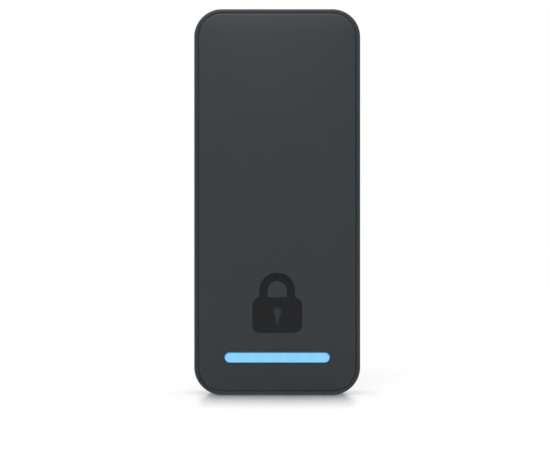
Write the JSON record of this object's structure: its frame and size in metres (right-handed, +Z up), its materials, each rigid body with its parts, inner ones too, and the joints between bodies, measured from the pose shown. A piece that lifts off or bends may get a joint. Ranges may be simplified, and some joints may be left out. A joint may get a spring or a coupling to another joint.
{
  "type": "rfid card reader",
  "caption": "Slim wall-mounted RFID card reader: rounded anthracite case, flush front panel with a padlock symbol and a blue light bar, hooked on a steel wall bracket.",
  "frame": {"origin": "the middle of the case's box at the height of its flat bottom face, halfway between the front face and the wall plane", "axes": "+Z up along the case, +Y from the front face to the wall, +X to the right seen from the front"},
  "size_m": [0.0484, 0.0196, 0.1125],
  "materials": {
    "housing_plastic": "fine matt anthracite moulding",
    "cover_plastic": "fine matt anthracite moulding",
    "panel_plastic": "satin anthracite paint film",
    "symbol_gloss": "polished black inlay",
    "light_guide": "opal light guide, lit light blue",
    "seal_rubber": "matt black silicone",
    "label_film": "matt silver-grey film, blank",
    "circuit_board": "green solder mask",
    "copper_trace": "bare copper track",
    "ferrite": "dull sintered sheet",
    "chip_black": "moulded epoxy",
    "jack_plastic": "black glass-filled nylon",
    "tinned_steel": "tin plated sheet",
    "transformer_tape": "yellow polyester tape",
    "capacitor_can": "drawn can",
    "led_white": "white lamp package",
    "ribbon_film": "white polyester film",
    "button_plastic": "grey acetal",
    "screw_steel": "plain stainless",
    "spring_steel": "drawn stainless wire",
    "nut_steel": "zinc plated",
    "bracket_steel": "zinc plated sheet"
  },
  "bodies": {
    "bracket": {"wall_bracket": "bracket_steel", "clinch_nut": "nut_steel"},
    "reader": {"front_housing": "housing_plastic", "front_panel": "panel_plastic", "symbol_inlay": "symbol_gloss", "light_bar": "light_guide", "rear_gasket": "seal_rubber", "rear_cover": "cover_plastic", "vent_plug": "seal_rubber", "rating_label": "label_film", "antenna_board": "circuit_board", "antenna_coil": "copper_trace", "ferrite_sheet": "ferrite", "antenna_header": "chip_black", "main_board": "circuit_board", "processor": "chip_black", "reader_chip": "chip_black", "rf_shield_can": "tinned_steel", "poe_transformer": "transformer_tape", "bulk_capacitor": "capacitor_can", "buzzer": "chip_black", "jack_body": "jack_plastic", "jack_shield": "tinned_steel", "jack_seal": "seal_rubber", "led_board": "circuit_board", "ribbon_socket_lower": "chip_black", "ribbon_socket_upper": "chip_black", "led_ribbon": "ribbon_film", "reset_switch": "chip_black", "tamper_switch": "chip_black", "tamper_spring": "spring_steel", "led_1": "led_white", "cover_screw_1": "screw_steel", "led_2": "led_white", "cover_screw_2": "screw_steel", "led_3": "led_white", "cover_screw_3": "screw_steel", "led_4": "led_white", "cover_screw_4": "screw_steel", "led_5": "led_white", "cover_screw_5": "screw_steel", "led_6": "led_white", "cover_screw_6": "screw_steel", "board_screw_1": "screw_steel", "board_screw_2": "screw_steel", "board_screw_3": "screw_steel", "board_screw_4": "screw_steel", "led_board_screw_1": "screw_steel", "led_board_screw_2": "screw_steel"},
    "washer": {"lock_washer": "seal_rubber"},
    "screw": {"lock_screw": "screw_steel"},
    "button": {"reset_button": "button_plastic"},
    "plunger": {"tamper_plunger": "button_plastic"}
  },
  "joints": [
    {"name": "reader_swing", "type": "hinge", "parent": "bracket", "child": "reader", "pos_m": [0, 0.0073, 0.1054], "axis": [-1, 0, 0], "range_deg": [0, 8]},
    {"name": "lock_screw_travel", "type": "slide", "parent": "reader", "child": "washer", "axis": [0, 0, 1], "range_m": [0, 0.0028]},
    {"name": "lock_screw_turn", "type": "hinge", "parent": "washer", "child": "screw", "pos_m": [0, 0.0028, 0.005], "axis": [0, 0, 1], "range_deg": [0, 2016]},
    {"name": "reset_press", "type": "slide", "parent": "reader", "child": "button", "axis": [0, -1, 0], "range_m": [0, 0.0005], "stiffness_N_per_m": 1500},
    {"name": "tamper_travel", "type": "slide", "parent": "reader", "child": "plunger", "axis": [0, 1, 0], "range_m": [0, 0.0012], "deforming": ["tamper_spring"]}
  ],
  "couplings": [
    {"joint": "lock_screw_turn", "follows": "lock_screw_travel", "rad_per_m": 12566},
    {"joint": "tamper_travel", "follows": "reader_swing", "m_per_rad": 0.00859}
  ]
}
